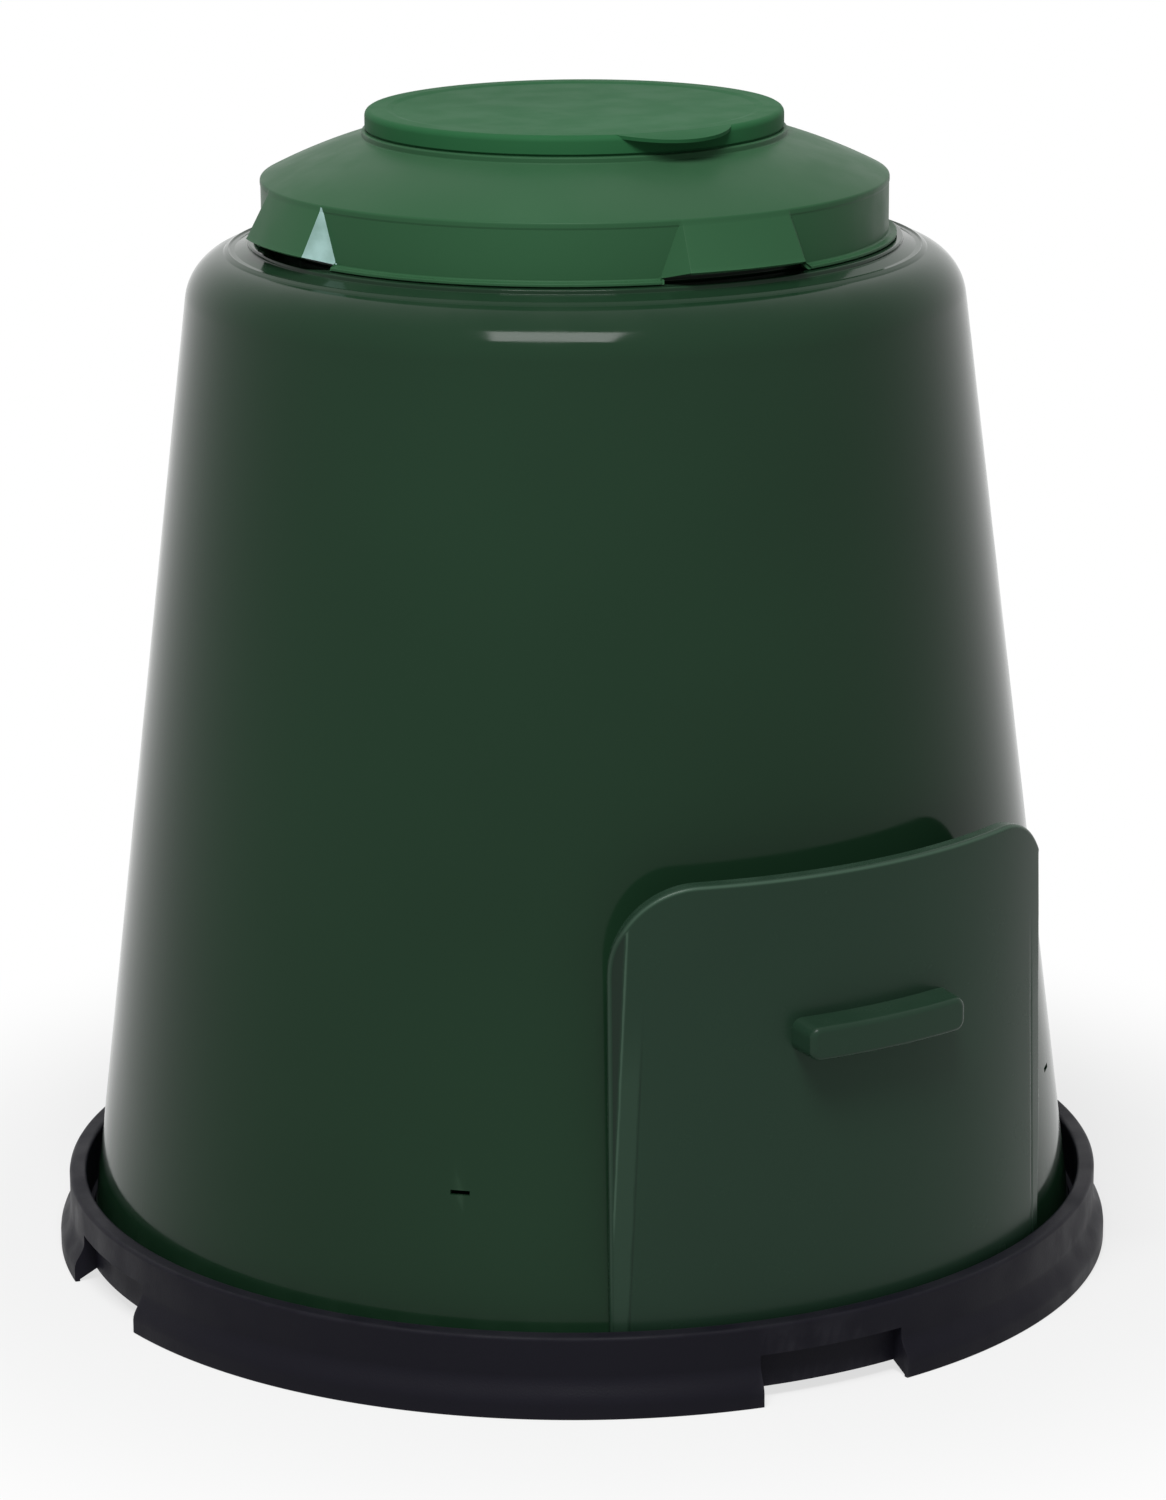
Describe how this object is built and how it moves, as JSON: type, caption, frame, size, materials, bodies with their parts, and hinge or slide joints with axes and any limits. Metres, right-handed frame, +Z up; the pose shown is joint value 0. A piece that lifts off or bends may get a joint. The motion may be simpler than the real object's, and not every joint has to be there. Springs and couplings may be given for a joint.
{
  "type": "compost bin",
  "caption": "Round tapered garden compost bin on a ventilated base tray, with a sliding emptying hatch, a domed air-vent lid and a lift-out filling cap.",
  "frame": {"origin": "centre of the base tray on the ground", "axes": "+Z up along the bin's axis, -Y towards the hatch"},
  "size_m": [0.7994, 0.7997, 0.86],
  "materials": {
    "base_black": "satin black plastic",
    "peg_black": "satin black plastic",
    "body_green": "glossy dark green plastic",
    "hatch_green": "satin green plastic",
    "lid_green": "satin green plastic",
    "cap_green": "satin green plastic"
  },
  "bodies": {
    "bin": {"base_tray": "base_black", "locking_pegs": "peg_black", "body_shell": "body_green"},
    "hatch": {"hatch_door": "hatch_green"},
    "lid": {"outer_lid": "lid_green"},
    "cap": {"inner_cap": "cap_green"}
  },
  "joints": [
    {"name": "hatch_slide", "type": "slide", "parent": "bin", "child": "hatch", "axis": [0, 0, 1], "range_m": [0, 0.2]},
    {"name": "lid_lift", "type": "slide", "parent": "bin", "child": "lid", "axis": [0, 0, 1], "range_m": [0, 0.15]},
    {"name": "cap_lift", "type": "slide", "parent": "lid", "child": "cap", "axis": [0, 0, 1], "range_m": [0, 0.1]}
  ]
}
